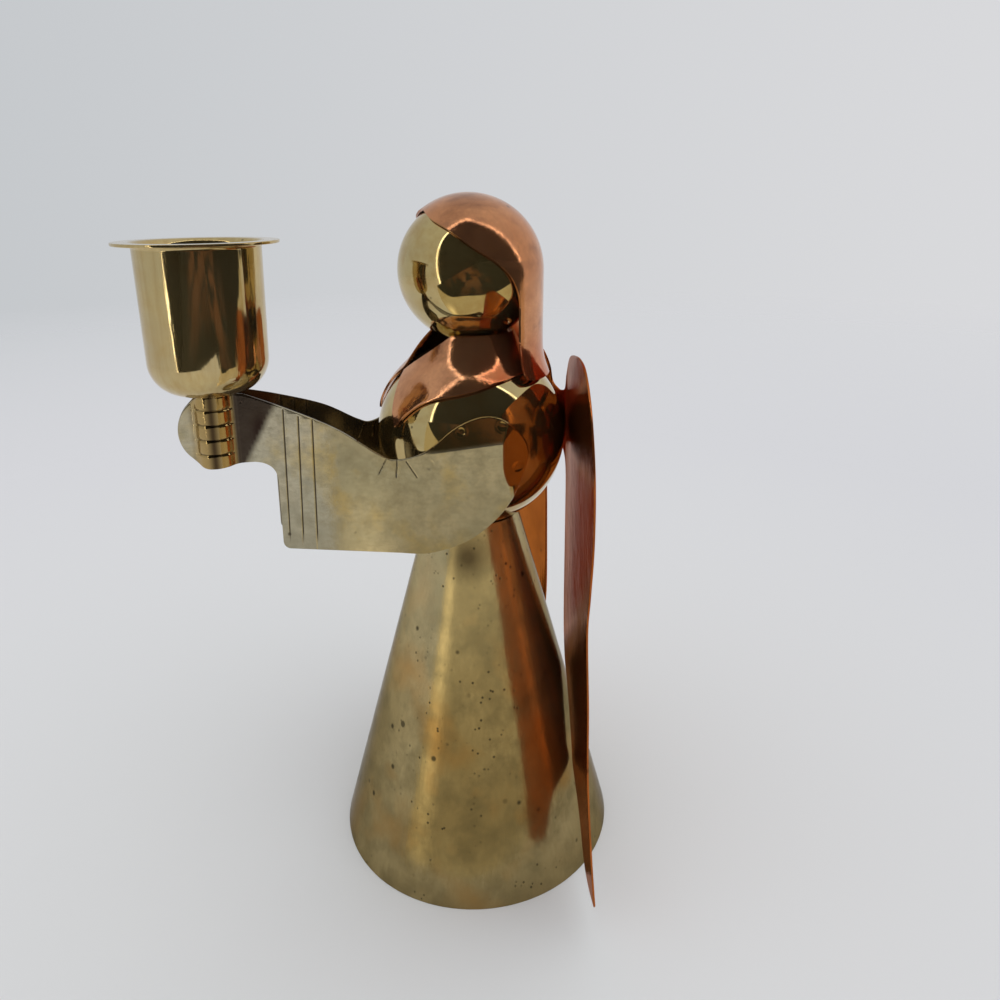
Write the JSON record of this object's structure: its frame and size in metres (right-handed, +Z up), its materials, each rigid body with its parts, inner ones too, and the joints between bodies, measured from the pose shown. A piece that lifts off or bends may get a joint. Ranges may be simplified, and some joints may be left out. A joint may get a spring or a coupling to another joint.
{
  "type": "candle holder",
  "caption": "Angel-shaped candle holder of brass and copper sheet: cone skirt, ball torso and head, copper hair, collar and wings, arms holding out a flanged candle cup.",
  "frame": {"origin": "on the table under the middle of the whole object, from the cup's front rim to the skirt's hem behind", "axes": "+Z up, the angel faces -Y and holds the cup out that way, its left arm and wing are at +X"},
  "size_m": [0.0968, 0.1002, 0.1492],
  "materials": {
    "skirt_brass": "satin, tarnished, with small pits",
    "ball_brass": "polished, lightly tarnished",
    "cup_brass": "polished, lightly tarnished",
    "arm_brass": "satin rolled sheet with specks",
    "hair_copper": "copper, polished and lightly tarnished",
    "wing_copper": "copper, polished and darkened",
    "plated_steel": "zinc plated"
  },
  "bodies": {
    "angel": {"skirt": "skirt_brass", "skirt_top_plate": "plated_steel", "rod_washer": "plated_steel", "rod_nut": "plated_steel", "tie_rod": "plated_steel", "head_boss": "ball_brass", "torso_ball": "ball_brass", "head_ball": "ball_brass", "hair": "hair_copper", "collar": "hair_copper", "wings": "wing_copper", "arm_left": "arm_brass", "arm_right": "arm_brass"},
    "cup": {"cup": "cup_brass", "cup_pin": "cup_brass"}
  },
  "joints": [
    {"name": "cup_turn", "type": "hinge", "parent": "angel", "child": "cup", "pos_m": [0, -0.03507, 0.1035], "axis": [0, 0, 1], "continuous": true}
  ]
}
